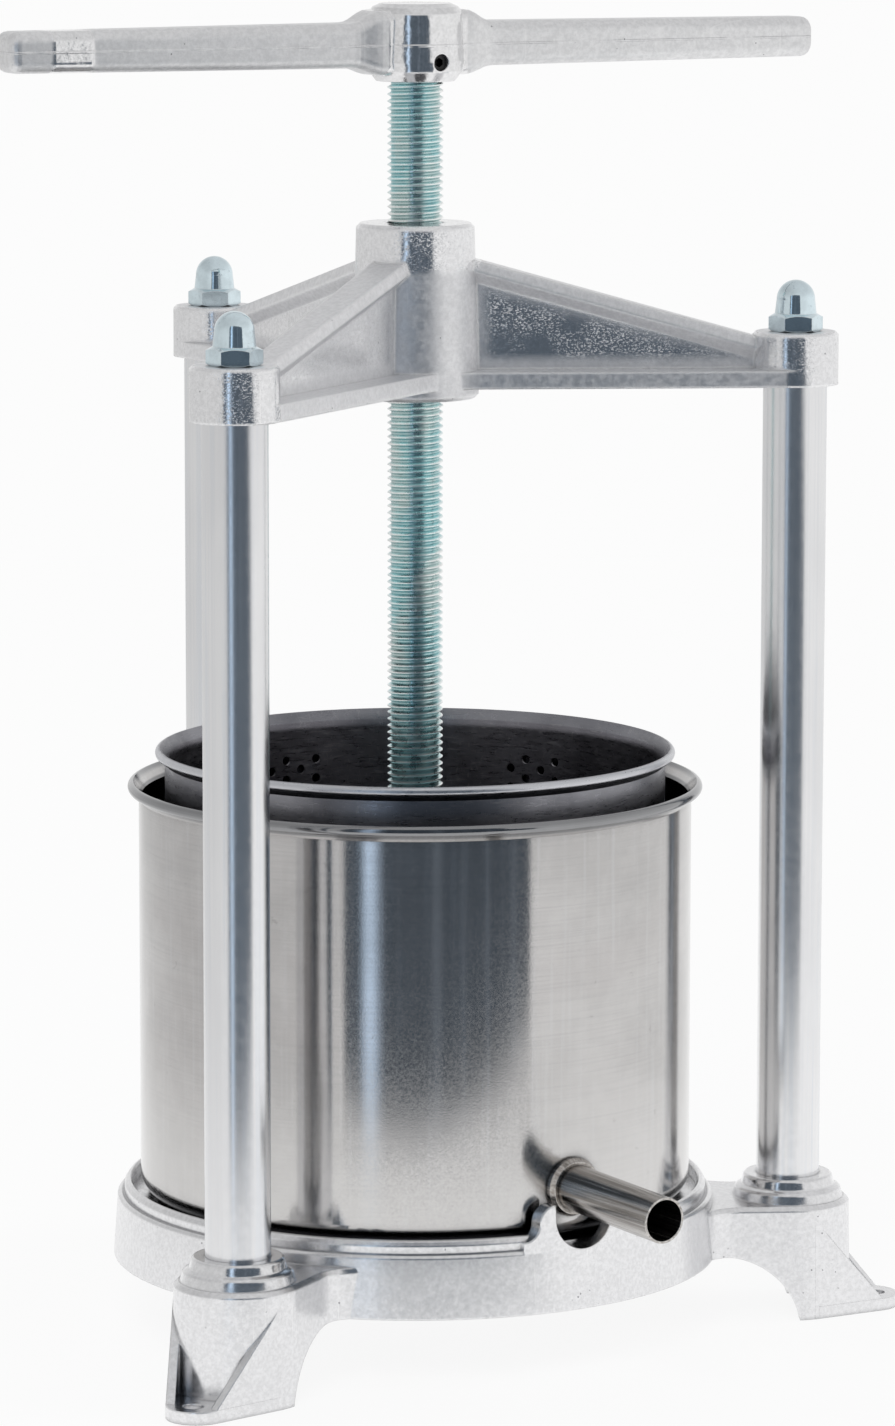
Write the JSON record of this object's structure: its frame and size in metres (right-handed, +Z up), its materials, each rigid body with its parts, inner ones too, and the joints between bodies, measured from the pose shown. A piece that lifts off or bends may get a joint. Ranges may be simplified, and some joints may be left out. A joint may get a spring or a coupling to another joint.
{
  "type": "fruit press",
  "caption": "Tabletop screw press: a T-handled screw drives a plate into a perforated basket that stands in a steel pot with a juice spout, on a three-legged frame.",
  "frame": {"origin": "on the screw's axis at the level the feet stand on", "axes": "+Z up along the screw, -Y towards the spout (front), +X to the right seen from the front"},
  "size_m": [0.3168, 0.3342, 0.477],
  "materials": {
    "cast_base": "bright as-cast aluminium",
    "cast_bridge": "bright as-cast aluminium",
    "cast_handle": "bright as-cast aluminium",
    "cast_plate": "as-cast aluminium",
    "column_tube": "drawn aluminium tube, satin",
    "screw_steel": "zinc plated, blue-green passivated",
    "zinc_steel": "zinc plated",
    "nut_steel": "bright zinc plated",
    "black_steel": "blackened steel",
    "bronze": "plain bronze",
    "pot_steel": "bright annealed stainless steel",
    "spout_steel": "drawn stainless tube with heat tint",
    "basket_steel": "dull grey stainless steel"
  },
  "bodies": {
    "root": {"base_casting": "cast_base", "top_bridge": "cast_bridge", "column_front_left": "column_tube", "column_front_right": "column_tube", "column_rear": "column_tube", "tie_rod_front_left": "zinc_steel", "tie_rod_front_right": "zinc_steel", "tie_rod_rear": "zinc_steel", "cap_nut_front_left": "nut_steel", "cap_nut_front_right": "nut_steel", "cap_nut_rear": "nut_steel", "base_nut_front_left": "nut_steel", "base_nut_front_right": "nut_steel", "base_nut_rear": "nut_steel", "base_washer_front_left": "nut_steel", "base_washer_front_right": "nut_steel", "base_washer_rear": "nut_steel"},
    "press_plate": {"press_plate": "cast_plate"},
    "screw": {"press_screw": "screw_steel", "handle": "cast_handle", "grub_screw": "black_steel", "thrust_washer": "bronze", "retaining_washer": "zinc_steel", "retaining_bolt": "zinc_steel"},
    "pot": {"pot_shell": "pot_steel", "spout_tube": "spout_steel", "spout_collar": "spout_steel"},
    "basket": {"basket_shell": "basket_steel", "basket_floor": "basket_steel"}
  },
  "joints": [
    {"name": "plate_travel", "type": "slide", "parent": "root", "child": "press_plate", "axis": [0, 0, 1], "range_m": [-0.0502, 0.1802]},
    {"name": "screw_turn", "type": "hinge", "parent": "press_plate", "child": "screw", "pos_m": [0, 0, 0.3], "axis": [0, 0, 1], "range_deg": [-7200, 25920]},
    {"name": "pot_lift", "type": "slide", "parent": "root", "child": "pot", "axis": [0, 0, 1], "range_m": [0, 0.017]},
    {"name": "basket_lift", "type": "slide", "parent": "pot", "child": "basket", "axis": [0, 0, 1], "range_m": [0, 0.01]}
  ],
  "couplings": [
    {"joint": "plate_travel", "follows": "screw_turn", "m_per_rad": 0.00039789}
  ]
}
